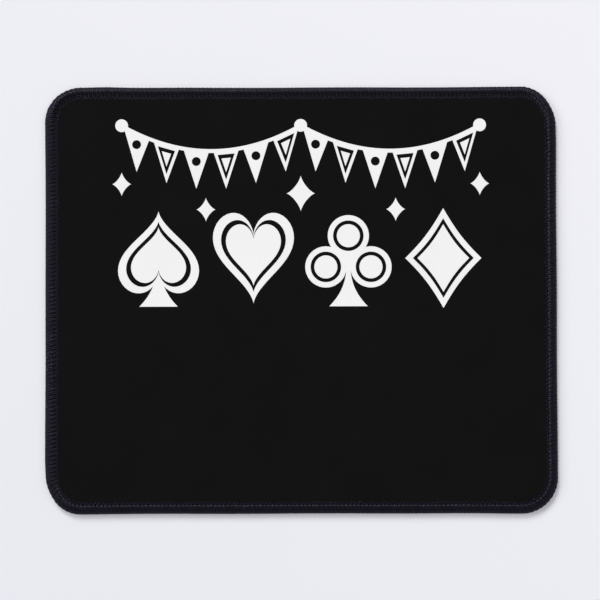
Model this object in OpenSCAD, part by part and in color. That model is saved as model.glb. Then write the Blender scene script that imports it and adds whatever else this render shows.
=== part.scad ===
// Desk mouse pad: printed cloth bonded to a foam rubber base, with a rolled edge bound all round by a
// three-thread overlock seam. Lengths are in millimetres. The pad lies flat on the XY plane, its width
// along X and its depth along Y, and the origin is the middle of its underside.

/* [Pad] */
// Width over the edge threads, left to right
pad_w = 240; // [180:1:400]
// Depth over the edge threads, front to back
pad_d = 200; // [140:1:360]
// Radius of the corners over the edge threads
corner_r = 17; // [12:0.5:30]
// Thickness of the printed cloth
cloth_t = 0.4; // [0.3:0.05:0.6]
// Thickness of the bonding film
film_t = 0.1; // [0.05:0.05:0.2]
// Thickness of the foam rubber base
rubber_t = 2.5; // [2:0.1:4]

/* [Rolled edge] */
// How much thinner the squeezed roll is at its crest than the flat pad
squeeze = 0.8; // [0.6:0.05:1]
// How much thinner the pad is under the seam than at the roll's crest
bite = 0.6; // [0.5:0.05:0.8]
// Radius to which the roll's upper and lower skins are bent
roll_r = 2.5; // [2.4:0.1:3.4]
// Height of the pad's cut edge inside the roll
cut_h = 0.6; // [0.4:0.05:1]
// Distance over which the pad swells from the seam's groove back to its full thickness
swell_w = 1.5; // [1:0.1:3]
// Height of the lowest edge thread over the desk
desk_gap = 0.05; // [0.02:0.01:0.2]

/* [Edge threads] */
// Length of a stitch along the end of the looper threads
stitch_pitch = 1.9; // [1.6:0.05:3]
// Thickness of a looper thread where it lies over the roll
looper_t = 0.45; // [0.3:0.05:0.6]
// Gap between neighbouring passes of a looper thread
pass_gap = 0.15; // [0.1:0.05:0.4]
// Diameter of the needle thread
needle_d = 0.4; // [0.3:0.05:0.5]
// Clearance between threads that meet
lay_gap = 0.02; // [0.01:0.01:0.05]

/* [Hidden] */

$fn = 48;
roll_steps = 10;        // chords along the roll
swell_steps = 5;        // chords along the swell
lap = 1;                // how far the edge of a layer runs into the flat field that it is one with

pad_t = cloth_t + film_t + rubber_t;
roll_t = pad_t - squeeze;
pinch_t = roll_t - bite;
mid_z = desk_gap + looper_t + roll_t / 2;

// The skins of the roll are arcs about a line that lies bend_drop beyond the middle plane. The arcs
// are measured by their angle from the pad's own plane, as seen from that line.
bend_drop = roll_r - roll_t / 2;
tip_a = asin(bend_drop / roll_r);
seam_a = asin((bend_drop + pinch_t / 2) / roll_r);
cut_a = asin((bend_drop + cut_h / 2) / roll_r);

// Distances in from the pad's outer edge.
crest_in = (roll_r + looper_t) * cos(tip_a);
cut_in = crest_in - roll_r * cos(cut_a);
seam_in = crest_in + roll_r * cos(seam_a);
needle_rest = needle_d / 2 + lay_gap;                   // from what the needle thread lies against
needle_in = seam_in + needle_rest / tan(seam_a / 2);
groove_end = 2 * needle_in - seam_in;
swell_end = groove_end + swell_w;

function spaced(from, to, steps) = [for (i = [0:steps]) from + (to - from) * i / steps];
function reversed(list) = [for (i = [len(list) - 1:-1:0]) list[i]];

// A smooth step from 0 to 1 as x goes from 0 to 1, and a height eased from one to another over the swell.
function ease(x) = (1 - cos(180 * x)) / 2;
function swell(from, to, u) = from + (to - from) * ease((u - groove_end) / swell_w);

// Half the height of the roll, and the heights of the pad's skins, at u in from the outer edge.
function roll_half(u) = sqrt(pow(roll_r, 2) - pow(u - crest_in, 2)) - bend_drop;
function skin_z(u) = u <= seam_in ? mid_z + roll_half(u)
    : u < swell_end ? swell(mid_z + pinch_t / 2, pad_t, u) : pad_t;
function sole_z(u) = u <= seam_in ? mid_z - roll_half(u)
    : u < swell_end ? swell(mid_z - pinch_t / 2, 0, u) : 0;

section_u = concat(spaced(cut_in, seam_in, roll_steps), spaced(groove_end, swell_end, swell_steps),
    [swell_end + lap]);

// Sweeps a section round the pad. The section's X is the distance in from the outer edge.
module swept() {
    for (side = [0:3]) {
        run = (side % 2 == 0 ? pad_w : pad_d) - 2 * corner_r;
        reach = (side % 2 == 0 ? pad_d : pad_w) / 2;
        rotate([0, 0, 90 * side]) {
            translate([-run / 2, -reach, 0])
                rotate([90, 0, 90]) linear_extrude(run) children();
            translate([run / 2, corner_r - reach, 0])
                rotate([0, 0, -90])
                    rotate_extrude(angle = 90) translate([corner_r, 0]) mirror([1, 0]) children();
        }
    }
}

// The flat middle of a layer, inside the rolled edge.
module field(bottom, thickness) {
    w = pad_w - 2 * swell_end;
    d = pad_d - 2 * swell_end;
    r = corner_r - swell_end;
    translate([0, 0, bottom])
        linear_extrude(thickness) {
            square([w - 2 * r, d], center = true);
            square([w, d - 2 * r], center = true);
            for (x = [-1, 1], y = [-1, 1]) translate([x * (w / 2 - r), y * (d / 2 - r)]) circle(r);
        }
}

// One layer of the pad, its upper side depth below the skin.
module sheet(depth, thickness) {
    swept() polygon(concat([for (u = section_u) [u, skin_z(u) - depth - thickness]],
        reversed([for (u = section_u) [u, skin_z(u) - depth]])));
    field(pad_t - depth - thickness, thickness);
}

module printed_cloth() {
    color("#131313") sheet(0, cloth_t);
}

module bonding_film() {
    color("#c9c3b4") sheet(cloth_t, film_t);
}

module rubber_base() {
    color("#1b1b1d") {
        swept() polygon(concat([for (u = section_u) [u, sole_z(u)]],
            reversed([for (u = section_u) [u, skin_z(u) - cloth_t - film_t]])));
        field(0, rubber_t);
    }
}

// The stitches stand at even steps along the seam, so each run and each corner takes its share.
seam_r = corner_r - seam_in;
run_w = pad_w - 2 * corner_r;
run_d = pad_d - 2 * corner_r;
run_w_stitches = round(run_w / stitch_pitch);
run_d_stitches = round(run_d / stitch_pitch);
corner_stitches = round(seam_r * PI / 2 / stitch_pitch);

dome_w = stitch_pitch - pass_gap;
dome_r = (pow(dome_w / 2, 2) + pow(looper_t, 2)) / (2 * looper_t);

// The domed section of a looper thread, flat against the roll.
module dome() {
    intersection() {
        translate([looper_t - dome_r, 0]) circle(dome_r);
        translate([0, -dome_w / 2]) square([looper_t, dome_w]);
    }
}

// Bends sections over the roll, from the seam to the middle plane, where the pad's outer edge is the
// X axis.
module bent() {
    rim_a = 180 - tip_a - atan(lay_gap / roll_r);
    translate([0, crest_in, mid_z - bend_drop])
        rotate([90, 0, 90]) rotate([0, 0, seam_a])
            rotate_extrude(angle = rim_a - seam_a) translate([roll_r, 0]) children();
}

// The passes that a looper thread makes over the roll, one to a stitch.
module looper() {
    for (side = [0:3]) {
        run = side % 2 == 0 ? run_w : run_d;
        reach = (side % 2 == 0 ? pad_d : pad_w) / 2;
        stitches = side % 2 == 0 ? run_w_stitches : run_d_stitches;
        rotate([0, 0, 90 * side]) {
            translate([0, -reach, 0])
                bent()
                    for (i = [0:stitches - 1])
                        translate([0, ((i + 0.5) / stitches - 0.5) * run]) dome();
            translate([run / 2, corner_r - reach, 0])
                for (i = [0:corner_stitches - 1])
                    rotate([0, 0, (i + 0.5) / corner_stitches * 90])
                        translate([0, -corner_r, 0]) bent() dome();
        }
    }
}

module upper_looper_thread() {
    color("#1e1b24") looper();
}

module lower_looper_thread() {
    color("#1e1b24") translate([0, 0, 2 * mid_z]) mirror([0, 0, 1]) looper();
}

// The needle thread runs in the groove beside the loopers, on top and underneath.
module needle_thread() {
    rise = pinch_t / 2 + needle_rest;
    color("#24212b")
        for (z = [mid_z - rise, mid_z + rise]) swept() translate([needle_in, z]) circle(d = needle_d);
}

rubber_base();
bonding_film();
printed_cloth();
upper_looper_thread();
lower_looper_thread();
needle_thread();
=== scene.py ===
"""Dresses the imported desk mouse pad: printed cloth, a foam rubber base and an edge bound in bulky yarn.

Lengths are written in millimetres and turned into metres where a mesh is made. The pad lies flat on
the floor, its width along X and its depth along Y, with the origin in the middle of its underside.
"""

import sys
import logging
import math
from dataclasses import dataclass, field
from enum import Enum
from typing import Any, Iterable, Optional, Union

import bpy
import numpy as np
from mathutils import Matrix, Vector
from mathutils.geometry import delaunay_2d_cdt


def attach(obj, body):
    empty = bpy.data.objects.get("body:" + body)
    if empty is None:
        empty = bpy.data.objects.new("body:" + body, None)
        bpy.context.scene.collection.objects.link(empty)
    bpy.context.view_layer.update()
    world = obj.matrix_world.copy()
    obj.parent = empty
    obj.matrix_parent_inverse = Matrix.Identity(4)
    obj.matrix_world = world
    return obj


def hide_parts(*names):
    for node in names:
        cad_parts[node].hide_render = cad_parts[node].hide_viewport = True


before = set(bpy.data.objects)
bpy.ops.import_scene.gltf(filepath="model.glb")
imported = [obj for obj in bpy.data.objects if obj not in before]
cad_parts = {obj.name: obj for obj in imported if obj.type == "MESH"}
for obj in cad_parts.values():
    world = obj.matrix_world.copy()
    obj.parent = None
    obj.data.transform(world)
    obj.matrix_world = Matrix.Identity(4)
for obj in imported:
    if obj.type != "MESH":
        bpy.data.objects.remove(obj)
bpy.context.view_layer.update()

LOG = logging.getLogger("mouse_pad")
MM = 0.001
# Settings of the triangulation: triangles inside the outlines, and points this close in mm are one
INSIDE = 1
WELD = 1e-5
Array = np.ndarray
Point = tuple[float, float]
Colour = tuple[float, float, float]


def eased(x: Array, start: float = 0.0, width: float = 1.0) -> Array:
    """Returns a smooth step that goes from 0 at the start to 1 a width further on."""
    return (1 - np.cos(np.pi * np.clip((x - start) / width, 0.0, 1.0))) / 2


def linear(red: float, green: float, blue: float) -> Colour:
    """Returns the linear colour of an sRGB colour written from 0 to 255."""
    parts = (c / 255 for c in (red, green, blue))
    return tuple(c / 12.92 if c <= 0.04045 else ((c + 0.055) / 1.055) ** 2.4 for c in parts)


# ---------- Form of the pad ----------


@dataclass(frozen=True)
class EdgeSection:
    """Section across the rolled edge, as heights at a distance in from the outer edge.

    The skins of the roll are arcs, and beyond the seam's groove the pad swells back to its full
    thickness.
    """

    thickness: float = 3.0
    cloth: float = 0.4
    film: float = 0.1
    middle_z: float = 1.7
    crest_in: float = 3.0
    roll_radius: float = 3.168
    drop: float = 1.968
    cut_in: float = 0.79
    seam_in: float = 3.93
    needle_in: float = 4.0
    groove_end: float = 4.1
    swell: float = 1.77
    roll_rows: int = 13
    swell_rows: int = 9

    @property
    def field_in(self) -> float:
        """Distance in at which the pad is flat."""
        return self.groove_end + self.swell

    def half(self, inset: Array) -> Array:
        """Returns half the height of the squeezed edge at distances in from the outer edge."""
        across = np.clip(inset, self.cut_in, self.seam_in) - self.crest_in
        return np.sqrt(self.roll_radius**2 - across**2) - self.drop

    def skin(self, inset: Array) -> Array:
        """Returns the height of the cloth's upper face at distances in from the outer edge."""
        low = self.middle_z + self.half(inset)
        return low + (self.thickness - low) * eased(inset, self.groove_end, self.swell)

    def sole(self, inset: Array) -> Array:
        """Returns the height of the pad's underside at distances in from the outer edge."""
        low = self.middle_z - self.half(inset)
        return low * (1 - eased(inset, self.groove_end, self.swell))

    def rows(self) -> Array:
        """Returns the distances in at which a layer of the pad has a row of points."""
        return np.concatenate([np.linspace(self.cut_in, self.seam_in, self.roll_rows), [self.needle_in],
                               np.linspace(self.groove_end, self.field_in, self.swell_rows)])

    def cloth_reach(self, steps: int = 600) -> float:
        """Returns the length of cloth between its cut edge and the flat field."""
        inset = np.linspace(self.cut_in, self.field_in, steps)
        return float(np.hypot(np.diff(inset), np.diff(self.skin(inset))).sum())


@dataclass(frozen=True)
class Outline:
    """The pad's rounded rectangle, followed at the needle line from the front left, front side first.

    The seam pulls the pad in on the left and out at the back. That sets in over the pull and ends over
    the fade, each a start and a width as distances in. The sides flare towards the corners and wander,
    and a tug is a place in X and Y, how far it is moved along each, and how far about that is felt.
    """

    width: float = 240.0
    depth: float = 200.0
    corner: float = 17.0
    line_in: float = 4.0
    seam_left: float = 0.55
    seam_back: float = -0.2
    pull: tuple[float, float] = (0.8, 3.2)
    fade: tuple[float, float] = (7.0, 8.0)
    flare: float = 0.3
    side_flare: float = 0.7
    wander: float = 0.25
    tugs: tuple[tuple[float, float, float, float, float], ...] = (
        (118, 91, -0.66, -0.38, 9), (-118, -90, 0.74, 0.36, 9), (-92, 100, 0.0, 0.38, 10),
        (-120, 8, 0.12, 0.0, 24), (96, -100, 0.0, -0.2, 12), (-118, 92, -0.1, 0.1, 8))

    @property
    def radius(self) -> float:
        """Radius of a corner at the needle line."""
        return self.corner - self.line_in

    @property
    def spans(self) -> Array:
        """Lengths of the straight runs and corners in turn."""
        arc = self.radius * math.pi / 2
        return np.array([self.width - 2 * self.corner, arc, self.depth - 2 * self.corner, arc] * 2)

    @property
    def starts(self) -> Array:
        """Distances along the needle line at which the runs and corners start, and its length."""
        return np.concatenate([[0.0], np.cumsum(self.spans)])

    def place(self, along: Array, inset: Array) -> tuple[Array, Array, Array]:
        """Finds points beside the needle line.

        Args:
            along: Distances along the needle line.
            inset: Distances in from the outer edge, one for each.

        Returns:
            The points' X and Y, the X and Y of the directions in from the edge there, and how much
            further apart neighbours stand than on the needle line.
        """
        starts = self.starts
        along = np.mod(along, starts[-1])
        part = np.clip(np.searchsorted(starts, along, side="right") - 1, 0, 7)
        rest = along - starts[part]
        side, on_arc = part // 2, part % 2 == 1
        run = self.spans[side * 2]
        reach = np.where(side % 2 == 0, self.depth, self.width) / 2 - self.line_in
        turn = np.where(on_arc, rest / self.radius, 0.0)
        x = np.where(on_arc, run / 2 + self.radius * np.sin(turn), rest - run / 2)
        y = np.where(on_arc, self.radius * (1 - np.cos(turn)), 0.0) - reach
        quarter = side * math.pi / 2
        inward = np.stack([-np.sin(turn + quarter), np.cos(turn + quarter)], axis=-1)
        line = np.stack([x * np.cos(quarter) - y * np.sin(quarter),
                         x * np.sin(quarter) + y * np.cos(quarter)], axis=-1)
        share = eased(inset, *self.pull) * (1 - eased(inset, *self.fade))
        pull = self.seam_left * np.clip(inward[..., 0], 0, 1) ** 2
        pull = pull + self.seam_back * np.clip(-inward[..., 1], 0, 1) ** 2
        step = inset + pull * share - self.line_in
        spread = np.where(on_arc, 1 - step / self.radius, 1.0)
        return line + inward * step[..., None], inward, spread

    def stations(self, runs: int = 14, corners: int = 16) -> Array:
        """Spaces stations along the needle line.

        Args:
            runs: Steps to each straight run.
            corners: Steps to each corner.

        Returns:
            The stations' distances along the needle line.
        """
        starts = self.starts
        return np.concatenate([
            np.linspace(a, b, corners if part % 2 else runs, endpoint=False)
            for part, (a, b) in enumerate(zip(starts[:-1], starts[1:]))
        ])

    def ring(self, inset: float, height: float) -> Array:
        """Makes a closed ring of points.

        Args:
            inset: Its distance in from the outer edge.
            height: Its height.

        Returns:
            The points, one to a row.
        """
        along = self.stations()
        spots = self.place(along, np.full(len(along), inset))[0]
        return np.concatenate([spots, np.full((len(along), 1), height)], axis=1)

    def settled(self, points: Array) -> Array:
        """Lets points follow the flare, the wander and the tugs.

        Args:
            points: Points in millimetres, one to a row.

        Returns:
            The moved points.
        """
        moved = points.copy()
        x, y = points[:, 0] / (self.width / 2), points[:, 1] / (self.depth / 2)
        wave = self.wander * np.sin(9.7 * x - 2.0 * y + 2.0)
        moved[:, 1] += np.sign(y) * self.flare * (np.clip(np.abs(x), 0, 1) ** 5 + wave) * np.abs(y) ** 5
        wave = self.wander * np.sin(8.3 * y + 1.0)
        stand_out = self.side_flare * np.clip(np.abs(y), 0, 1) ** 4 + wave
        moved[:, 0] += np.sign(x) * self.flare * stand_out * np.abs(x) ** 5
        for at_x, at_y, by_x, by_y, reach in self.tugs:
            share = np.exp(-((points[:, 0] - at_x) ** 2 + (points[:, 1] - at_y) ** 2) / reach**2)
            moved[:, 0] += by_x * share
            moved[:, 1] += by_y * share
        return moved


# ---------- Meshes ----------


@dataclass
class Draft:
    """A mesh under construction, in millimetres."""

    name: str
    points: list[Array] = field(default_factory=list)
    lays: list[Array] = field(default_factory=list)
    faces: list[list[int]] = field(default_factory=list)
    slots: list[int] = field(default_factory=list)
    count: int = 0

    def add_points(self, points: Array, lays: Optional[Array] = None) -> int:
        """Adds points.

        Args:
            points: Points, one to a row.
            lays: For each point a vector that its material reads, or None.

        Returns:
            The index of the first new point.
        """
        first = self.count
        self.points.append(points)
        self.lays.append(np.zeros_like(points) if lays is None else lays)
        self.count += len(points)
        return first

    def add_faces(self, faces: list[list[int]], slot: int = 0) -> None:
        """Adds faces that share a material slot."""
        self.faces.extend(faces)
        self.slots.extend([slot] * len(faces))

    def add_rings(self, rings: Array, joined: bool = False,
                  lays: Optional[Array] = None) -> int:
        """Joins closed rings of points with bands of quads.

        Args:
            rings: Points by ring and by place in the ring.
            joined: Whether the last ring joins the first.
            lays: Vectors for the points' material, or None.

        Returns:
            The index of the first point of the first ring.
        """
        count, around = rings.shape[:2]
        first = self.add_points(rings.reshape(-1, 3), None if lays is None else lays.reshape(-1, 3))
        ring = np.arange(count if joined else count - 1)[:, None]
        spot = np.arange(around)[None, :]
        after, beside = (ring + 1) % count, (spot + 1) % around
        quads = np.stack([ring * around + spot, ring * around + beside,
                          after * around + beside, after * around + spot], axis=-1)
        self.add_faces((quads.reshape(-1, 4) + first).tolist())
        return first

    def finish(self, outline: Outline, *finishes: "Finish", sharp_over: float = 60.0) -> bpy.types.Object:
        """Makes the object, dressed and linked to the scene.

        Args:
            outline: The outline that settles the points.
            finishes: The finishes of its material slots, in order.
            sharp_over: Angle in degrees over which an edge is shaded sharp.

        Returns:
            The new object.
        """
        mesh = bpy.data.meshes.new(self.name)
        mesh.from_pydata((outline.settled(np.concatenate(self.points)) * MM).tolist(), [], self.faces)
        lay = mesh.attributes.new("lay", "FLOAT_VECTOR", "POINT")
        lay.data.foreach_set("vector", np.concatenate(self.lays).astype(np.float32).ravel())
        mesh.polygons.foreach_set("material_index", self.slots)
        mesh.update()
        mesh.shade_smooth()
        mesh.set_sharp_from_angle(angle=math.radians(sharp_over))
        made = bpy.data.objects.new(self.name, mesh)
        bpy.context.scene.collection.objects.link(made)
        for finish in finishes:
            mesh.materials.append(finish.material())
        LOG.info("%s: %d faces", self.name, len(mesh.polygons))
        return made


# ---------- Materials ----------

Value = Union["Signal", float]
Key = Union[str, int]


class Signal:
    """A value that runs through a tree's nodes, with the arithmetic that adds Math nodes."""

    def __init__(self, wiring: "Wiring", socket: bpy.types.NodeSocket) -> None:
        """Wraps an output socket of one of the tree's nodes."""
        self.wiring, self.socket = wiring, socket

    def beside(self, output: Key) -> "Signal":
        """Returns another output of the same node."""
        return Signal(self.wiring, self.socket.node.outputs[output])

    def math(self, operation: str, first: Value, second: Value = 0.0) -> "Signal":
        """Adds a Math node with this operation on two values."""
        return self.wiring.node("ShaderNodeMath", {"operation": operation}, {0: first, 1: second})

    def __add__(self, other: Value) -> "Signal":
        """Adds a value."""
        return self.math("ADD", self, other)

    def __sub__(self, other: Value) -> "Signal":
        """Takes a value away."""
        return self.math("SUBTRACT", self, other)

    def __rsub__(self, other: Value) -> "Signal":
        """Takes this from a value."""
        return self.math("SUBTRACT", other, self)

    def __mul__(self, other: Value) -> "Signal":
        """Multiplies by a value."""
        return self.math("MULTIPLY", self, other)

    def __abs__(self) -> "Signal":
        """Drops the sign."""
        return self.math("ABSOLUTE", self)

    __radd__, __rmul__ = __add__, __mul__

    def sine(self) -> "Signal":
        """Returns the sine."""
        return self.math("SINE", self)

    def within(self, low: float, high: float) -> "Signal":
        """Returns the value spread from low..high to 0..1 and held there."""
        return self.wiring.node("ShaderNodeMapRange", {"clamp": True},
                                {"Value": self, "From Min": low, "From Max": high})


class Wiring:
    """The node tree of a material or of the world."""

    def __init__(self, tree: bpy.types.NodeTree) -> None:
        """Takes the tree, with the nodes that it starts with."""
        self.tree = tree

    def own(self, kind: str) -> bpy.types.Node:
        """Returns the tree's first node of a type that it started with."""
        return next(n for n in self.tree.nodes if n.type == kind)

    def node(self, kind: str, settings: Optional[dict[str, Any]] = None,
             inputs: Optional[dict[Key, Any]] = None, output: Key = 0) -> Signal:
        """Adds a node.

        Args:
            kind: The node's type.
            settings: Its settings, which are set first.
            inputs: Values or signals for its sockets.
            output: The output that is wanted.

        Returns:
            That output.
        """
        made = self.tree.nodes.new(kind)
        for key, value in (settings or {}).items():
            setattr(made, key, value)
        for key, value in (inputs or {}).items():
            self.feed(made.inputs[key], value)
        return Signal(self, made.outputs[output])

    def feed(self, socket: bpy.types.NodeSocket, value: Any) -> None:
        """Sets a socket to a value, or links a signal to it.

        Args:
            socket: The socket.
            value: A signal, a number, a vector, or a colour in three parts.
        """
        if isinstance(value, Signal):
            self.tree.links.new(value.socket, socket)
        elif isinstance(value, tuple) and len(value) == 3 and socket.type == "RGBA":
            socket.default_value = (*value, 1.0)
        else:
            socket.default_value = value


class Finisher(Wiring):
    """Builds one material on the standard surface shader."""

    def __init__(self, name: str) -> None:
        """Starts a material.

        Args:
            name: Its name.
        """
        self.material = bpy.data.materials.new(name)
        self.material.use_nodes = True
        super().__init__(self.material.node_tree)
        self.shader = self.own("BSDF_PRINCIPLED")

    def place(self) -> Signal:
        """Returns the place on the piece, in metres."""
        return self.node("ShaderNodeTexCoord", output="Object")

    def split(self, vector: Signal) -> tuple[Signal, Signal, Signal]:
        """Returns a vector's three parts."""
        x = self.node("ShaderNodeSeparateXYZ", inputs={0: vector})
        return x, x.beside(1), x.beside(2)

    def noise(self, where: Signal, size: float, detail: float = 2.0, rough: float = 0.5) -> Signal:
        """Adds a soft noise.

        Args:
            where: The place at which it is read.
            size: About the size of its blotches, in millimetres.
            detail: How many finer layers it has.
            rough: How strong the finer layers are.

        Returns:
            The noise, from 0 to 1.
        """
        return self.node("ShaderNodeTexNoise", {"normalize": True},
                         {"Vector": where, "Scale": 1 / (size * MM), "Detail": detail, "Roughness": rough},
                         output="Fac")

    def mixed(self, share: Value, first: Any, second: Any) -> Signal:
        """Returns a colour that goes from the first to the second as the share goes from 0 to 1."""
        return self.node("ShaderNodeMix", {"data_type": "RGBA"}, {"Factor": share, 6: first, 7: second},
                         output=2)

    def bump(self, height: Signal, depth: float, strength: float = 1.0) -> Signal:
        """Returns a normal roughened by a height from 0 to 1, its depth in millimetres."""
        return self.node("ShaderNodeBump", None,
                         {"Height": height, "Distance": depth * MM, "Strength": strength})

    def done(self, **sockets: Any) -> bpy.types.Material:
        """Feeds the surface shader.

        Args:
            sockets: Values or signals, by the shader's socket names with _ for a space.

        Returns:
            The finished material.
        """
        for key, value in sockets.items():
            self.feed(self.shader.inputs[key.replace("_", " ")], value)
        return self.material


@dataclass(frozen=True)
class Finish:
    """A surface that drifts between a colour and its shade."""

    name: str
    colour: Colour
    shade: Colour


@dataclass(frozen=True)
class ClothFinish(Finish):
    """Finely woven cloth, either dyed or covered with ink."""

    gloss: float
    thread: float = 0.34
    slub: float = 0.5
    blotch: float = 24.0
    drift: float = 5.0
    relief: float = 0.05

    def material(self) -> bpy.types.Material:
        """Builds the material.

        Returns:
            The finished material.
        """
        make = Finisher(self.name)
        where = make.place()
        x, y, _ = make.split(where)
        drift = make.noise(where, self.drift, 2.0) * 2.4
        step = 2 * math.pi / (self.thread * MM)
        warp = (x * step + drift).sine()
        weft = (y * step + drift).sine()
        slub = make.noise(where, self.slub, 3.0, 0.6)
        height = (warp * weft) * 0.25 + slub * 0.9
        blotch = make.noise(where, self.blotch, 3.0)
        share = (slub * 0.55 + blotch * 0.45).within(0.3, 0.7)
        return make.done(Base_Color=make.mixed(share, self.shade, self.colour),
                         Roughness=0.78 + slub * 0.2, Specular_IOR_Level=self.gloss,
                         Normal=make.bump(height, self.relief, 0.5))


@dataclass(frozen=True)
class YarnFinish(Finish):
    """Twisted yarn, read from how far along it and where round it a point lies."""

    twist: float
    plies: int
    fluff: float
    roughness: float
    gloss: float
    tint: Colour = (0.88, 0.83, 1.0)
    fibre: float = 0.16
    tuft: float = 1.6
    relief: float = 0.09

    def material(self) -> bpy.types.Material:
        """Builds the material.

        Returns:
            The finished material.
        """
        make = Finisher(self.name)
        lay = make.node("ShaderNodeAttribute", {"attribute_name": "lay"}, output="Vector")
        along, cosine, sine = make.split(lay)
        angle = make.node("ShaderNodeMath", {"operation": "ARCTAN2"}, {0: sine, 1: cosine})
        turn = along * (2 * math.pi / self.twist) + angle
        ply = abs((turn * (self.plies / 2)).sine())
        where = make.place()
        fibre = make.noise(where, self.fibre, 2.0, 0.6)
        tuft = make.noise(where, self.tuft, 2.0)
        height = ply * (1 - self.fluff) + fibre * self.fluff
        # Painted shade: the colour darkens in the grooves between the plies, and drifts with the fibres and
        # tufts at random
        share = (ply * 0.5 + fibre * 0.25 + tuft * 0.5).within(0.2, 0.95)
        return make.done(Base_Color=make.mixed(share, self.shade, self.colour),
                         Roughness=self.roughness + (1 - fibre) * 0.12,
                         Specular_IOR_Level=self.gloss, Specular_Tint=self.tint,
                         Normal=make.bump(height, self.relief, 0.3))


@dataclass(frozen=True)
class RubberFinish(Finish):
    """Open, matt foam rubber."""

    cell: float = 0.22
    bloom: float = 9.0
    relief: float = 0.04

    def material(self) -> bpy.types.Material:
        """Builds the material.

        Returns:
            The finished material.
        """
        make = Finisher(self.name)
        where = make.place()
        cells = make.node("ShaderNodeTexVoronoi", {"feature": "F1"},
                          {"Vector": where, "Scale": 1 / (self.cell * MM)}, output="Distance")
        bloom = make.noise(where, self.bloom, 3.0)
        # Painted shade: the colour darkens in the pits of the cells, and drifts in blooms at random
        share = (cells * 0.6 + bloom * 0.6).within(0.25, 0.8)
        return make.done(Base_Color=make.mixed(share, self.shade, self.colour),
                         Roughness=0.8 + bloom * 0.15, Specular_IOR_Level=0.3,
                         Normal=make.bump(cells, self.relief, 0.6))


@dataclass(frozen=True)
class FilmFinish(Finish):
    """Milky hot-melt film."""

    flow: float = 2.5
    relief: float = 0.03

    def material(self) -> bpy.types.Material:
        """Builds the material.

        Returns:
            The finished material.
        """
        make = Finisher(self.name)
        flow = make.noise(make.place(), self.flow, 3.0)
        return make.done(Base_Color=make.mixed(flow.within(0.3, 0.7), self.shade, self.colour),
                         Roughness=0.4 + flow * 0.3, Normal=make.bump(flow, self.relief, 0.4))


@dataclass(frozen=True)
class FloorFinish(Finish):
    """Pale floor with painted shade that darkens it towards the front left, and a glow that fills in its
    shadows a little where it is seen.
    """

    cloud: float = 120.0
    fill: float = 0.21

    def material(self) -> bpy.types.Material:
        """Builds the material.

        Returns:
            The finished material.
        """
        make = Finisher(self.name)
        where = make.place()
        x, y, _ = make.split(where)
        cloud = make.noise(where, self.cloud, 2.0)
        # Painted shade: the colour goes from the shade at the front left to the colour at the back right,
        # with a faint cloud of random tone
        share = (y + x * 0.5 + cloud * 0.12).within(-0.12, 0.26)
        colour = make.mixed(share, self.shade, self.colour)
        # Painted light: a glow of the floor's colour, seen by camera, glossy and transmission rays, fills in
        # its shadows a little
        glow = make.node("ShaderNodeEmission", inputs={"Color": colour})
        camera = make.node("ShaderNodeLightPath", output="Is Camera Ray")
        seen = camera + camera.beside("Is Glossy Ray") + camera.beside("Is Transmission Ray")
        plain = Signal(make, make.shader.outputs[0])
        surface = make.node("ShaderNodeMixShader", None, {0: seen * self.fill, 1: plain, 2: glow})
        make.feed(make.own("OUTPUT_MATERIAL").inputs["Surface"], surface)
        return make.done(Base_Color=colour, Roughness=0.9, Specular_IOR_Level=0.1)


BLACK_CLOTH = ClothFinish("black cloth", linear(19, 19, 19), linear(15, 15, 15), 0.03)
WHITE_INK = ClothFinish("white ink", linear(246, 246, 246), linear(239, 239, 240), 0.1)
# A yarn's shade is painted shade in the grooves between its plies, and the colour of its darker fibres and
# tufts
LOOPER_YARN = YarnFinish("looper yarn", linear(9, 5.6, 20.5), linear(4.5, 2.8, 11),
                         twist=1.3, plies=2, fluff=0.2, roughness=0.23, gloss=0.175)
NEEDLE_THREAD = YarnFinish("needle thread", linear(17, 14, 24), linear(8, 6, 11),
                           twist=0.8, plies=3, fluff=0.15, roughness=0.25, gloss=0.48)
# The rubber's shade is painted shade in its cells' pits, and darker tone at random
FOAM_RUBBER = RubberFinish("foam rubber", linear(30, 30, 32), linear(20, 20, 22))
MELT_FILM = FilmFinish("bonding film", (0.58, 0.53, 0.45), (0.44, 0.4, 0.34))
# The floor's shade is painted shade towards its front left
PALE_FLOOR = FloorFinish("pale floor", linear(241, 241, 247), linear(234, 234, 241))


# ---------- Printed design ----------


class Suit(Enum):
    """The four suits of playing cards."""

    SPADE = "spade"
    HEART = "heart"
    CLUB = "club"
    DIAMOND = "diamond"


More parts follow.
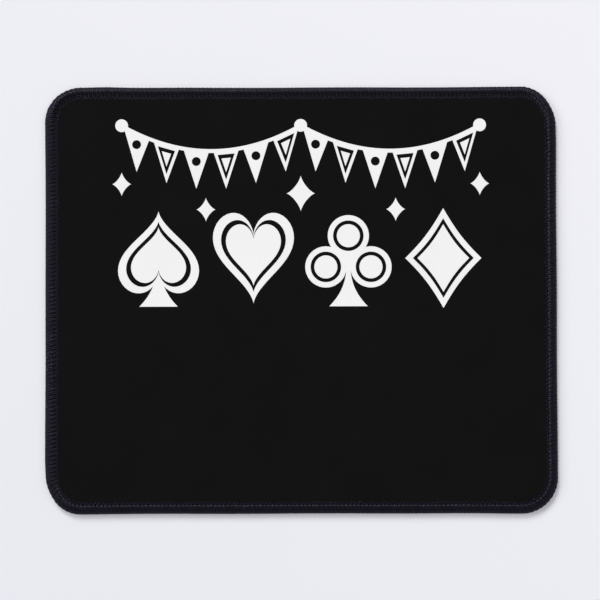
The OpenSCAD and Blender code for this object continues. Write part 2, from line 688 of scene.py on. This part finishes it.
@dataclass
class PrintedDesign:
    """White design of bunting and sparkles over a row of card suits, as loops laid one over another.

    A rim is the share of a shape's size at which it is laid, white and black in turn.
    """

    suit_y: float = 19.5
    suit_step: float = 44.5
    suit_tall: float = 45.0
    suit_wide: float = 38.0
    suit_rims: tuple[float, float, float] = (1.0, 0.8, 0.68)
    club_rims: tuple[float, float, float] = (1.0, 0.74, 0.56)
    leaf: float = 0.215
    leaf_out: float = 0.235
    leaf_down: float = 0.09
    hub: float = 4.2
    hub_down: float = 0.02
    stem_neck: float = 0.9
    stem_foot: float = 9.0
    stem_flare: float = 2.6
    stem_down: float = 0.12
    stem_lap: float = 4.0
    heart_tall: float = 0.95
    heart_up: float = 0.09
    heart_keep: float = 0.11
    spade_tall: float = 0.86
    spade_up: float = 0.07
    diamond_size: Point = (0.94, 1.04)
    diamond_bow: float = 0.34
    swag_top: float = 82.0
    swag_drop: float = 12.0
    swag_wide: float = 84.0
    band: float = 1.8
    flags: int = 6
    flag_wide: float = 12.2
    flag_tall: float = 18.0
    flag_rims: tuple[float, float, float] = (1.0, 0.66, 0.36)
    dot: float = 2.1
    dot_up: float = 0.6
    knot: float = 3.0
    sparkle_y: float = 50.0
    sparkle_reach: float = 5.6
    sparkle_slim: float = 0.8
    sparkle_pinch: float = 2.7
    sparkle_middle: float = 1.5
    sparkle_down: float = 7.5
    sparkle_up: float = 4.5
    loops: list[tuple[list[Point], bool]] = field(default_factory=list)

    def lay(self, loop: Iterable[Point], white: bool = True) -> None:
        """Lays a loop over those before it.

        Args:
            loop: Its points, either way round.
            white: Whether it is white, or else the cloth's black.
        """
        points = [(float(x), float(y)) for x, y in loop]
        turn = sum(a[0] * b[1] - b[0] * a[1] for a, b in zip(points, points[1:] + points[:1]))
        self.loops.append((points if turn > 0 else points[::-1], white))

    def disc(self, x: float, y: float, radius: float, white: bool = True) -> None:
        """Lays a disc."""
        self.lay([(x + radius * math.cos(a), y + radius * math.sin(a))
                  for a in np.linspace(0, 2 * math.pi, 40, endpoint=False)], white)

    def sparkle(self, x: float, y: float, reach: float) -> None:
        """Lays a sparkle with four points.

        Args:
            x: X of its middle.
            y: Y of its middle.
            reach: Its height over the middle.
        """
        loop = []
        for a in np.linspace(0, 2 * math.pi, 48, endpoint=False):
            px, py = (math.copysign(abs(v) ** self.sparkle_pinch, v) for v in (math.cos(a), math.sin(a)))
            loop.append((x + self.sparkle_slim * reach * px, y + reach * py))
        self.lay(loop)

    def stem(self, x: float, foot: float, top: float) -> None:
        """Lays the flared stem of a spade or club.

        Args:
            x: X of its middle.
            foot: Y of its foot.
            top: Y of its top.
        """
        neck, flare = self.stem_neck, self.stem_foot - self.stem_neck
        ways = np.linspace(0, 1, 12)
        right = [(x + neck + flare * t**self.stem_flare, top + (foot - top) * t) for t in ways]
        self.lay([*right, *((2 * x - px, py) for px, py in reversed(right))])

    def heart(self, x: float, y: float, wide: float, tall: float, scale: float, white: bool,
              way: int = 1) -> None:
        """Lays a heart, by the usual curve of sines, which is 29 units tall.

        Args:
            x: X of its middle.
            y: Y of its middle.
            wide: Its full width.
            tall: Its full height.
            scale: The share of the full size at which it is laid.
            white: Whether it is white.
            way: 1 for a heart that stands upright, or -1 for one that is upside down.
        """
        loop = []
        for t in np.linspace(0, 2 * math.pi, 72, endpoint=False):
            px = math.sin(t) ** 3 / 2
            py = (13 * math.cos(t) - 5 * math.cos(2 * t) - 2 * math.cos(3 * t) - math.cos(4 * t)) / 29
            py = (py + self.heart_up) * scale + self.heart_keep * (1 - scale)
            loop.append((x + px * wide * scale, y + way * tall * py))
        self.lay(loop, white)

    def diamond(self, x: float, y: float, wide: float, tall: float, scale: float, white: bool) -> None:
        """Lays a diamond with sides that bow in.

        Args:
            x: X of its middle.
            y: Y of its middle.
            wide: Its full width.
            tall: Its full height.
            scale: The share of the full size at which it is laid.
            white: Whether it is white.
        """
        corners = [(wide / 2, 0.0), (0.0, tall / 2), (-wide / 2, 0.0), (0.0, -tall / 2)]
        loop = []
        for (ax, ay), (bx, by) in zip(corners, corners[1:] + corners[:1]):
            for t in np.linspace(0, 1, 10, endpoint=False):
                bow = 1 - self.diamond_bow * t * (1 - t)
                loop.append((x + (ax + (bx - ax) * t) * bow * scale, y + (ay + (by - ay) * t) * bow * scale))
        self.lay(loop, white)

    def club(self, x: float, y: float, scale: float, white: bool) -> None:
        """Lays the three leaves of a club, and at full size the hub between them.

        Args:
            x: X of its middle.
            y: Y of its middle.
            scale: The share of the full size at which each leaf is laid.
            white: Whether the leaves are white.
        """
        tall, out, down = self.suit_tall, self.leaf_out, self.leaf_down
        radius = tall * self.leaf
        for px, py in ((0.0, out), (-out, -down), (out, -down)):
            self.disc(x + px * tall, y + py * tall, radius * scale, white)
        if scale == 1.0:
            self.disc(x, y - self.hub_down * tall, self.hub)

    def suit(self, kind: Suit, x: float, y: float) -> None:
        """Lays one suit, with a black line inside its edge.

        Args:
            kind: The suit.
            x: X of its middle.
            y: Y of its middle.
        """
        wide, tall = self.suit_wide, self.suit_tall
        if kind in (Suit.SPADE, Suit.CLUB):
            self.stem(x, y - tall / 2, y - tall * self.stem_down + self.stem_lap)
        rims = self.club_rims if kind is Suit.CLUB else self.suit_rims
        for scale, white in zip(rims, (True, False, True)):
            if kind is Suit.CLUB:
                self.club(x, y, scale, white)
            elif kind is Suit.DIAMOND:
                self.diamond(x, y, wide * self.diamond_size[0], tall * self.diamond_size[1], scale, white)
            elif kind is Suit.HEART:
                self.heart(x, y, wide, tall * self.heart_tall, scale, white)
            else:
                self.heart(x, y + tall * self.spade_up, wide, tall * self.spade_tall, scale, white, way=-1)

    def cord(self, middle: float, t: float) -> Array:
        """Returns the place on a swag's cord, from -1 at its left end to 1 at its right."""
        return np.array([middle + t * self.swag_wide / 2, self.swag_top - self.swag_drop * (1 - t * t)])

    def swag(self, middle: float) -> None:
        """Lays one swag of bunting: flags hung straight down, dotted and lined in turn, and the cord.

        Args:
            middle: X of its middle.
        """
        half = self.flag_wide / self.swag_wide
        for i in range(self.flags):
            t = (i + 0.5) / self.flags * 2 - 1
            left, right = self.cord(middle, t - half), self.cord(middle, t + half)
            flag = [left, self.cord(middle, t) - (0.0, self.flag_tall), right]
            centre = sum(flag) / 3
            lined = i % 2 == 1
            for scale, white in zip(self.flag_rims if lined else self.flag_rims[:1], (True, False, True)):
                self.lay([centre + (p - centre) * scale for p in flag], white)
            if not lined:
                self.disc(centre[0], centre[1] + self.dot_up, self.dot, False)
        cord = [self.cord(middle, t) for t in np.linspace(-1, 1, 34)]
        rise = (0.0, self.band / 2)
        self.lay([*(p + rise for p in cord), *(p - rise for p in cord[::-1])])

    def draw(self) -> list[tuple[list[Point], bool]]:
        """Lays the whole design.

        Returns:
            Its loops in the order in which they are laid, each with whether it is white.
        """
        self.loops.clear()
        for side in (-1, 1):
            self.swag(side * self.swag_wide / 2)
        for x in (-self.swag_wide, 0.0, self.swag_wide):
            self.disc(x, self.swag_top, self.knot)
        self.sparkle(0.0, self.sparkle_y, self.sparkle_middle * self.sparkle_reach)
        for side in (-1, 1):
            self.sparkle(side * self.suit_step, self.sparkle_y - self.sparkle_down, self.sparkle_reach)
            self.sparkle(side * self.swag_wide, self.sparkle_y + self.sparkle_up, self.sparkle_reach)
        for i, kind in enumerate(Suit):
            self.suit(kind, (i - 1.5) * self.suit_step, self.suit_y)
        return self.loops


# ---------- Layers ----------


@dataclass
class Layer:
    """A layer of the pad, from cut edge to cut edge."""

    section: EdgeSection
    outline: Outline

    def shell(self, draft: Draft, under: Array, over: Array) -> tuple[list[int], list[int]]:
        """Adds the layer's faces round the flat field.

        Args:
            draft: The mesh under construction.
            under: Heights of the lower face at the section's rows.
            over: Heights of the upper face there.

        Returns:
            The indices of the lower and of the upper face's innermost ring, counter-clockwise.
        """
        rows = self.section.rows()
        rings = [self.outline.ring(u, z) for u, z in zip(rows[::-1], under[::-1])]
        rings += [self.outline.ring(u, z) for u, z in zip(rows, over)]
        around = len(rings[0])
        first = draft.add_rings(np.array(rings))
        last = first + around * (len(rings) - 1)
        return list(range(first, first + around)), list(range(last, last + around))

    def field_ring(self) -> Array:
        """Returns the X and Y of the flat field's outer ring."""
        return self.outline.ring(self.section.field_in, 0.0)[:, :2]


@dataclass
class PadCloth(Layer):
    """Printed cloth: one thin closed sheet, with the print's shapes in it."""

    design: PrintedDesign
    grid: float = 7.0
    margin: float = 3.0
    corner_cut: float = 8.0

    def printed_field(self, draft: Draft, rim: list[int]) -> None:
        """Fills the flat field with triangles, split along the edges of the print.

        Args:
            draft: The mesh under construction.
            rim: The indices of the field's outer ring, counter-clockwise.
        """
        spots = [tuple(p) for p in self.field_ring()]
        loops = [list(range(len(spots)))]
        inks = [False]
        for loop, white in self.design.draw():
            loops.append(list(range(len(spots), len(spots) + len(loop))))
            spots.extend(loop)
            inks.append(white)
        x_reach, y_reach = (side / 2 - self.section.field_in - self.margin
                            for side in (self.outline.width, self.outline.depth))
        for i, x in enumerate(np.arange(-x_reach, x_reach, self.grid)):
            for y in np.arange(-y_reach + (i % 2) * self.grid / 2, y_reach, self.grid):
                if abs(x) + abs(y) < x_reach + y_reach - self.corner_cut:
                    spots.append((float(x), float(y)))
        made, _, triangles, sources, _, covers = delaunay_2d_cdt(
            [Vector(p) for p in spots], [], loops, INSIDE, WELD)
        flat = np.array([[p.x, p.y, self.section.thickness] for p in made])
        index = [-1] * len(made)
        for i, source in enumerate(sources):
            for old in source:
                if old < len(rim):
                    index[i] = rim[old]
        fresh = [i for i, known in enumerate(index) if known < 0]
        first = draft.add_points(flat[fresh])
        for place, i in enumerate(fresh):
            index[i] = first + place
        for white in (False, True):
            draft.add_faces([[index[i] for i in triangle] for triangle, cover in zip(triangles, covers)
                             if inks[max(cover, default=0)] is white], slot=int(white))

    def build(self) -> bpy.types.Object:
        """Returns:
            The cloth.
        """
        section, outline = self.section, self.outline
        draft = Draft("printed_top_cloth")
        heights = section.skin(section.rows())
        lower, upper = self.shell(draft, heights - section.cloth, heights)
        draft.add_faces([lower[::-1]])
        self.printed_field(draft, upper)
        piece = draft.finish(outline, BLACK_CLOTH, WHITE_INK)
        over = 2 * (section.cloth_reach() - section.field_in)
        flat = ((outline.width + over) * MM, (outline.depth + over) * MM)
        corner = outline.corner + over / 2
        area = flat[0] * flat[1] - (4 - math.pi) * (corner * MM) ** 2
        LOG.info("cloth cut to %.1f x %.1f mm, %.5f m2", flat[0] / MM, flat[1] / MM, area)
        return piece


@dataclass
class BondingFilm(Layer):
    """Hot-melt film between the cloth and the rubber."""

    def build(self) -> bpy.types.Object:
        """Builds and dresses the film.

        Returns:
            The film.
        """
        draft = Draft("bonding_film_layer")
        tops = self.section.skin(self.section.rows()) - self.section.cloth
        lower, upper = self.shell(draft, tops - self.section.film, tops)
        draft.add_faces([lower[::-1], upper])
        return draft.finish(self.outline, MELT_FILM)


@dataclass
class RubberBase(Layer):
    """Foam rubber base with a waffle of small grip cells moulded into its underside."""

    cell: float = 2.4
    pit: float = 0.25
    pit_share: float = 0.56
    margin: float = 1.2
    sharp_over: float = 25.0

    def cells(self) -> list[tuple[int, int]]:
        """Finds the grip cells that fit on the flat underside.

        Returns:
            Their columns and rows.
        """
        half = self.cell / math.sqrt(2)
        reach = self.section.field_in + self.margin
        x_reach, y_reach = self.outline.width / 2 - reach, self.outline.depth / 2 - reach
        corner = self.outline.corner - reach
        found = []
        for i in range(-int(x_reach / half) - 1, int(x_reach / half) + 2):
            for j in range(-int(y_reach / half) - 1, int(y_reach / half) + 2):
                if (i + j) % 2:
                    continue
                x, y = abs(i * half), abs(j * half)
                past = np.hypot(max(x - x_reach + corner, 0), max(y - y_reach + corner, 0))
                if x + half < x_reach and y + half < y_reach and past + half < corner:
                    found.append((i, j))
        return found

    def grip(self, draft: Draft, rim: list[int]) -> None:
        """Lays the grip cells and joins them to the underside's rim.

        Args:
            draft: The mesh under construction.
            rim: The indices of the underside's innermost ring, counter-clockwise.
        """
        half = self.cell / math.sqrt(2)
        cells = self.cells()
        steps = [(1, 0), (0, 1), (-1, 0), (0, -1)]
        corners: dict[tuple[int, int], int] = {}
        for i, j in cells:
            for di, dj in steps:
                corners.setdefault((i + di, j + dj), len(corners))
        tops = np.array([[i * half, j * half, 0.0] for i, j in corners])
        first = draft.add_points(tops)
        pits = np.array([[*(np.array(cell) * half + np.array(step) * half * self.pit_share), self.pit]
                         for cell in cells for step in steps])
        low = draft.add_points(pits)
        faces, edges = [], {}
        for k, (i, j) in enumerate(cells):
            outer = [corners[(i + di, j + dj)] for di, dj in steps]
            inner = [low + 4 * k + n for n in range(4)]
            for n in range(4):
                m = (n + 1) % 4
                faces.append([first + outer[m], first + outer[n], inner[n], inner[m]])
                edge = (outer[n], outer[m])
                if edges.pop(edge[::-1], None) is None:
                    edges[edge] = True
            faces.append(inner[::-1])
        draft.add_faces(faces)
        border = sorted({i for edge in edges for i in edge})
        spot = {i: len(rim) + n for n, i in enumerate(border)}
        spots = [Vector(p) for p in self.field_ring()] + [Vector(tops[i][:2]) for i in border]
        known = list(rim) + [first + i for i in border]
        made, _, triangles, sources, _, _ = delaunay_2d_cdt(
            spots, [(spot[a], spot[b]) for a, b in edges], [list(range(len(rim)))], INSIDE, WELD)
        index = [known[source[0]] for source in sources]
        taken = set(cells)
        strip = []
        for triangle in triangles:
            x, y = sum((made[i] for i in triangle), Vector((0.0, 0.0))) / 3 / half
            near = min(((i, j) for i in range(math.floor(x) - 1, math.floor(x) + 3)
                        for j in range(math.floor(y) - 1, math.floor(y) + 3) if (i + j) % 2 == 0),
                       key=lambda cell: abs(x - cell[0]) + abs(y - cell[1]))
            if near not in taken:
                strip.append([index[i] for i in reversed(triangle)])
        draft.add_faces(strip)

    def build(self) -> bpy.types.Object:
        """Returns:
            The base.
        """
        section = self.section
        draft = Draft("foam_rubber_base")
        rows = section.rows()
        tops = section.skin(rows) - section.cloth - section.film
        lower, upper = self.shell(draft, section.sole(rows), tops)
        draft.add_faces([upper])
        self.grip(draft, lower)
        piece = draft.finish(self.outline, FOAM_RUBBER, sharp_over=self.sharp_over)
        return piece


# ---------- Edge threads ----------


class Face(Enum):
    """The face of the pad that a thread covers."""

    TOP = 1
    UNDER = -1


@dataclass
class StitchRow:
    """The stitches along the needle line: where each one's middle is, and its length."""

    outline: Outline
    pitch: float = 1.9
    back_gape: float = 0.8
    unruly: float = 2.6
    unruly_reach: float = 5.0

    def stitches(self) -> tuple[Array, Array]:
        """Spaces the stitches evenly along each run and corner.

        Returns:
            Their middles and their lengths along the needle line.
        """
        middles, lengths = [], []
        for start, span in zip(self.outline.starts, self.outline.spans):
            count = round(span / self.pitch)
            middles.append(start + (np.arange(count) + 0.5) * span / count)
            lengths.append(np.full(count, span / count))
        return np.concatenate(middles), np.concatenate(lengths)

    def inward(self, middles: Array) -> tuple[Array, Array]:
        """Returns the X and the Y of the direction in from the edge at each stitch, as columns."""
        inward = self.outline.place(middles, np.full(len(middles), self.outline.line_in))[1]
        return inward[:, :1], inward[:, 1:]

    def gape(self, middles: Array) -> Array:
        """Returns how far each stitch's legs stand apart: most at the left, least at the front and right."""
        to_right, to_back = self.inward(middles)
        return np.clip(to_right - self.back_gape * to_back, 0, 1)

    def unrest(self, middles: Array) -> Array:
        """Returns how unruly each stitch is: most where the seam starts and ends, at the back left."""
        begin = self.outline.starts[5] + self.outline.spans[5] * 0.5
        return 1 + self.unruly * np.exp(-(((middles - begin) / self.unruly_reach) ** 2))


@dataclass
class Tube:
    """Path of a thread, as one row of values to a point."""

    along: Array
    inset: Array
    height: Array
    tilt: Array
    wide: Array
    thick: Array
    lap: float = 0.0

    def resampled(self, keys: int, points: int, crowd: float) -> "Tube":
        """Smooths the path.

        Args:
            keys: Number of rows to a stitch now, the first of them at one turn.
            points: Number of rows to a stitch wanted.
            crowd: Share by which the rows stand closer at a stitch's two turns.

        Returns:
            The path on a closed curve through the rows.
        """
        rows = np.stack([self.along, self.inset, self.height, self.tilt, self.wide, self.thick])
        total = rows.shape[1] // keys * points
        turns = 4 * math.pi * np.arange(total) / points
        at = (turns - crowd * np.sin(turns)) * keys / (4 * math.pi)
        i = np.floor(at).astype(int)
        t = at - i
        length = rows[0, 0] + self.lap
        around = [rows[:, (i + k) % rows.shape[1]].copy() for k in (-1, 0, 1, 2)]
        for k, column in zip((-1, 0, 1, 2), around):
            column[0] += length * ((i + k) // rows.shape[1])
        a, b, c, d = around
        smooth = 0.5 * (2 * b + (c - a) * t + (2 * a - 5 * b + 4 * c - d) * t**2
                        + (3 * b - a - 3 * c + d) * t**3)
        return Tube(*smooth, lap=self.lap)


@dataclass
class EdgeThread:
    """A thread that is laid along the edge in repeated stitches."""

    section: EdgeSection
    outline: Outline
    row: StitchRow
    seed: int
    sides: int = 8
    desk_gap: float = 0.05
    yielding: float = 0.8
    sharp_over: float = 180.0

    def skin(self, draft: Draft, path: Tube, face: Face) -> None:
        """Puts a tube round a path, narrower where stitches crowd and flat where it lies on the desk.

        Args:
            draft: The mesh under construction.
            path: The path, closed round the pad, with heights as on the top.
            face: The face that it covers.
        """
        spots, inward, spread = self.outline.place(path.along, path.inset)
        height = path.height if face is Face.TOP else 2 * self.section.middle_z - path.height
        centres = np.concatenate([spots, height[:, None]], axis=1)
        lead = np.roll(centres, -1, axis=0) - np.roll(centres, 1, axis=0)
        lead /= np.linalg.norm(lead, axis=1)[:, None]
        rise = np.cos(path.tilt) * face.value
        up = np.concatenate([-inward * np.sin(path.tilt)[:, None], rise[:, None]], axis=1)
        across = np.cross(lead, up)
        across /= np.linalg.norm(across, axis=1)[:, None]
        up = np.cross(across, lead)
        angles = np.linspace(0, 2 * math.pi, self.sides, endpoint=False)
        cosine, sine = np.cos(angles), np.sin(angles)
        wide = (path.wide * (1 + (spread - 1) * self.yielding) / 2)[:, None, None]
        rings = (centres[:, None, :] + across[:, None, :] * cosine[None, :, None] * wide
                 + up[:, None, :] * sine[None, :, None] * (path.thick / 2)[:, None, None])
        rings[..., 2] = np.maximum(rings[..., 2], self.desk_gap)
        steps = np.linalg.norm(np.roll(centres, -1, axis=0) - centres, axis=1)
        run = np.concatenate([[0.0], np.cumsum(steps)[:-1]])
        lays = np.stack(np.broadcast_arrays(run[:, None], cosine[None, :], sine[None, :]), axis=-1)
        draft.add_rings(rings, joined=True, lays=lays.copy())


@dataclass
class LooperThread(EdgeThread):
    """Bulky yarn that runs to and fro over the roll, two legs to a stitch, looped round the needle line.

    Where the legs gape they stand apart over the roll, are thinner behind it and sink towards the
    needle line. Elsewhere they huddle over the roll. The loops reach further in on some sides than on
    others, and lie on the cloth. Fields that end in over are a start and a width as distances in, and
    two values that vary do so by key and by stitch.
    """

    face: Face = Face.TOP
    wide: float = 1.0
    thick: float = 0.44
    lean: float = 0.56
    lean_reach: float = 3.4
    huddle: float = 0.25
    huddle_reach: float = 1.3
    sink: float = 0.16
    sink_over: tuple[float, float] = (2.0, 1.8)
    lift: float = 0.7
    lift_over: tuple[float, float] = (4.0, 1.6)
    thin: float = 0.34
    thin_from: float = 1.7
    thin_more: float = 0.14
    thin_more_over: tuple[float, float] = (2.4, 1.4)
    loop_reach: float = 1.1
    loop_right: float = 0.25
    loop_front: float = -0.15
    loop_back: float = 0.2
    loop_from: float = 4.4
    loop_gap: float = 0.02
    loop_varies: float = 0.16
    offset_varies: tuple[float, float] = (0.022, 0.03)
    height_varies: tuple[float, float] = (0.018, 0.02)
    width_varies: tuple[float, float] = (0.05, 0.05)
    thick_varies: float = 0.03
    points: int = 28
    crowd: float = 0.5
    shift: float = 0.0
    tip_in: float = 5.45

    def leg(self) -> Array:
        """Returns the leg that runs in from the outer edge.

        Returns:
            Rows of: place in the stitch, inset, height, tilt, width and thickness.
        """
        section = self.section
        reach = section.roll_radius + self.thick / 2
        rows = []
        for degrees, offset, wide, proud in (
                (36.5, -0.5, 0.9, 0.0), (38.8, -0.325, 0.93, 0.0), (44.5, -0.255, 0.98, -0.01),
                (54, -0.255, 1.02, -0.01), (66, -0.265, 1.02, 0.0), (79, -0.29, 0.97, 0.0),
                (91.5, -0.32, 0.92, 0.0), (99.5, -0.34, 0.86, 0.0), (106, -0.355, 0.76, -0.02)):
            angle = math.radians(degrees)
            out = reach + proud
            rows.append((offset, section.crest_in - out * math.cos(angle),
                         section.middle_z - section.drop + out * math.sin(angle),
                         math.pi / 2 - angle, wide, 1.0))
        for share, offset, wide, proud in ((0.28, -0.36, 0.78, 0.12), (0.62, -0.31, 0.8, 0.09),
                                           (0.9, -0.17, 0.8, 0.04), (1.0, 0.0, 0.8, 0.0)):
            inset = section.needle_in + (self.tip_in - section.needle_in) * share
            height = float(section.skin(np.array(inset))) + proud
            rows.append((offset, inset, height, 0.0, wide, 0.5))
        return np.array(rows)

    def path(self) -> Tube:
        """Lays a leg in and a leg out for each stitch, with some variation.

        Returns:
            The thread's path, smoothed.
        """
        inbound = self.leg()
        outbound = inbound[-2:0:-1] * np.array([-1, 1, 1, 1, 1, 1])
        stitch = np.concatenate([inbound, outbound])
        keys = len(stitch)
        middles, lengths = self.row.stitches()
        chance = np.random.default_rng(self.seed)
        unrest = self.row.unrest(middles)[:, None]
        count = len(middles)

        def spread(amount: float, each: int = keys) -> Array:
            """Returns seeded noise, one column or one for each key."""
            noise = chance.normal(0, amount, (count, each))
            return np.clip(noise, -2 * amount, 2 * amount) * unrest

        section = self.section
        inset = np.repeat(stitch[None, :, 1], count, axis=0)
        gape = self.row.gape(middles)
        on_roll = np.abs(inset - section.crest_in) < self.huddle_reach
        apart = np.where(on_roll, self.huddle + (1 - self.huddle) * gape, 1.0)
        lifted = self.lift * eased(inset, *self.lift_over)
        sunk = self.sink * gape * eased(inset, *self.sink_over) * (1 - lifted)
        even = np.sign(stitch[None, :, 0]) / 4
        by_key, by_stitch = self.offset_varies
        offset = even + (stitch[None, :, 0] - even) * apart + self.shift
        offset = offset + spread(by_key) + spread(by_stitch, 1)
        offset = offset + self.lean * np.clip((section.needle_in - inset) / self.lean_reach, 0, 1)
        to_right, to_back = self.row.inward(middles)
        further = (self.loop_right * to_right + self.loop_front * to_back
                   + self.loop_back * np.clip(-to_back, 0, 1) + spread(self.loop_varies, 1))
        inset = inset + np.clip((inset - section.needle_in) / self.loop_reach, 0, 1) * further
        by_key, by_stitch = self.height_varies
        height = stitch[None, :, 2] - sunk + spread(by_key) + np.abs(spread(by_stitch, 1))
        on_cloth = np.maximum(height, section.skin(inset) + self.loop_gap)
        height = np.where(inset > self.loop_from, on_cloth, height)
        by_key, by_stitch = self.width_varies
        wide = self.wide * stitch[None, :, 4] * (1 + spread(by_key)) * (1 + spread(by_stitch, 1))
        thinner = self.thin + self.thin_more * eased(inset, *self.thin_more_over)
        wide = wide * (1 - gape * np.where(inset > self.thin_from, thinner, 0.0))
        tilt = np.repeat(stitch[None, :, 3], count, axis=0)
        thick = self.thick * stitch[None, :, 5] * (1 + spread(self.thick_varies))
        along = middles[:, None] + offset * lengths[:, None]
        lap = float(self.outline.starts[-1] - along[0, 0])
        path = Tube(*(a.ravel() for a in (along, inset, height, tilt, wide, thick)), lap=lap)
        return path.resampled(keys, self.points, self.crowd)

    def build(self) -> bpy.types.Object:
        """Builds and dresses the thread.

        Returns:
            The thread.
        """
        draft = Draft("upper_looper_yarn" if self.face is Face.TOP else "lower_looper_yarn")
        self.skin(draft, self.path(), self.face)
        return draft.finish(self.outline, LOOPER_YARN, sharp_over=self.sharp_over)


@dataclass
class NeedleThread(EdgeThread):
    """Tight thread over the yarn's legs along the needle line, which dips into a hole in mid stitch.

    Where the legs gape it sinks between them.
    """

    size: float = 0.46
    over: float = 0.44
    sink: float = 0.58
    dip: float = 0.4
    dip_width: float = 0.13
    beside: float = 0.12
    height_varies: float = 0.012
    inset_varies: float = 0.03
    points: int = 10
    sides: int = 6

    def build(self) -> bpy.types.Object:
        """Builds and dresses the thread on both faces, as one piece.

        Returns:
            The thread.
        """
        section = self.section
        middles, lengths = self.row.stitches()
        chance = np.random.default_rng(self.seed)
        phase = np.arange(self.points) / self.points
        floor = float(section.skin(np.array(section.needle_in)))
        dips = self.dip * np.exp(-(((phase - 0.5) / self.dip_width) ** 2))[None, :]
        along = (middles - lengths / 2)[:, None] + phase[None, :] * lengths[:, None]
        level, size = np.zeros(along.shape), np.full(along.shape, self.size)
        draft = Draft("needle_thread_rows")
        for face in Face:
            height = floor + self.over - dips - self.sink * self.row.gape(middles)
            height = height + chance.normal(0, self.height_varies, along.shape)
            inset = section.needle_in - self.beside + chance.normal(0, self.inset_varies, along.shape)
            path = Tube(*(a.ravel() for a in (along, inset, height, level, size, size)))
            self.skin(draft, path, face)
        return draft.finish(self.outline, NEEDLE_THREAD, sharp_over=self.sharp_over)


# ---------- Studio ----------


@dataclass(frozen=True)
class Lamp:
    """A soft lamp far away, whose share is the part of the floor's light that it gives."""

    name: str
    share: float
    azimuth: float
    elevation: float
    softness: float

    def hang(self) -> None:
        """Adds the lamp."""
        light = bpy.data.lights.new(self.name, "SUN")
        light.energy = self.share * math.pi / math.sin(math.radians(self.elevation))
        light.angle = math.radians(self.softness)
        lamp = bpy.data.objects.new(self.name, light)
        azimuth, elevation = math.radians(self.azimuth), math.radians(self.elevation)
        toward = Vector((math.cos(azimuth) * math.cos(elevation),
                         math.sin(azimuth) * math.cos(elevation), math.sin(elevation)))
        lamp.rotation_euler = toward.to_track_quat("Z", "Y").to_euler()
        bpy.context.scene.collection.objects.link(lamp)


@dataclass
class Studio:
    """Pale floor, soft light from the back left, and a camera above the pad."""

    distance: float = 700.0
    view: float = 22.75
    lean: float = 1.1
    roll: float = 0.14
    aim: tuple[float, float, float] = (-0.516, 0.0, 1.6)
    floor_reach: float = 3000.0
    floor_z: float = -0.02
    lamps: tuple[Lamp, ...] = (Lamp("left_softbox", 0.17, 166.0, 30.0, 24.0),
                               Lamp("back_softbox", 0.41, 112.0, 33.0, 22.0),
                               Lamp("right_softbox", 0.05, 20.0, 40.0, 30.0))
    sky_colour: Colour = (0.99, 0.99, 1.0)
    sky_seen: tuple[tuple[str, float], ...] = (
        ("Is Transmission Ray", 0.6), ("Is Glossy Ray", 0.6), ("Is Camera Ray", 0.88))

    def floor(self) -> None:
        """Lays the floor."""
        draft = Draft("floor")
        reach = self.floor_reach
        draft.add_points(np.array([[-reach, -reach, self.floor_z], [reach, -reach, self.floor_z],
                                   [reach, reach, self.floor_z], [-reach, reach, self.floor_z]]))
        draft.add_faces([[0, 1, 2, 3]])
        draft.finish(Outline(flare=0.0, tugs=()), PALE_FLOOR)

    def sky(self) -> None:
        """Fills in from all round with the light that the lamps leave, at set strengths where it is seen."""
        world = bpy.data.worlds.new("studio")
        world.use_nodes = True
        bpy.context.scene.world = world
        wiring = Wiring(world.node_tree)
        rays = wiring.node("ShaderNodeLightPath")
        level: Value = 1 - sum(lamp.share for lamp in self.lamps)
        for ray, strength in self.sky_seen:
            level = wiring.node("ShaderNodeMix", None, {0: rays.beside(ray), 2: level, 3: strength})
        background = wiring.own("BACKGROUND")
        wiring.feed(background.inputs["Strength"], level)
        wiring.feed(background.inputs["Color"], self.sky_colour)

    def camera(self) -> None:
        """Sets the camera."""
        data = bpy.data.cameras.new("above")
        data.sensor_width, data.angle = 36.0, math.radians(self.view)
        data.clip_start, data.clip_end = 0.01, 50.0
        camera = bpy.data.objects.new("above", data)
        lean = math.radians(self.lean)
        back = Vector((0.0, -math.sin(lean), math.cos(lean)))
        camera.location = (Vector(self.aim) + back * self.distance) * MM
        camera.rotation_euler = (lean, 0.0, -math.radians(self.roll))
        scene = bpy.context.scene
        scene.collection.objects.link(camera)
        scene.camera = camera
        scene.view_settings.view_transform = "Standard"

    def build(self) -> None:
        """Sets up the floor, the light and the camera."""
        self.floor()
        self.sky()
        for lamp in self.lamps:
            lamp.hang()
        self.camera()


# ---------- Mouse pad ----------


@dataclass
class MousePad:
    """The whole pad."""

    section: EdgeSection = EdgeSection()
    outline: Outline = Outline()
    design: PrintedDesign = field(default_factory=PrintedDesign)

    def build(self) -> None:
        """Builds each piece in the place of its node."""
        parts = (self.section, self.outline)
        threads = (*parts, StitchRow(self.outline))
        upper = LooperThread(*threads, seed=11)
        lower = LooperThread(*threads, seed=23, sides=7, face=Face.UNDER, shift=0.5, points=24, tip_in=4.7)
        self.stand_in(RubberBase(*parts).build(), "rubber_base")
        self.stand_in(PadCloth(*parts, self.design).build(), "printed_cloth")
        self.stand_in(upper.build(), "upper_looper_thread")
        self.stand_in(lower.build(), "lower_looper_thread")
        self.stand_in(NeedleThread(*threads, seed=5).build(), "needle_thread")
        self.stand_in(BondingFilm(*parts).build(), "bonding_film")

    def stand_in(self, piece: bpy.types.Object, node: str) -> None:
        """Puts a piece in the place of a node.

        Args:
            piece: The piece.
            node: The node.
        """
        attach(piece, "root")
        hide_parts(node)
        LOG.info("%s stands for %s", piece.name, node)


def main() -> None:
    """Sets the studio up and builds the pad."""
    logging.basicConfig(level=logging.INFO, format="%(name)s: %(message)s", stream=sys.stdout)
    Studio().build()
    MousePad().build()


if __name__ == "__main__":
    main()
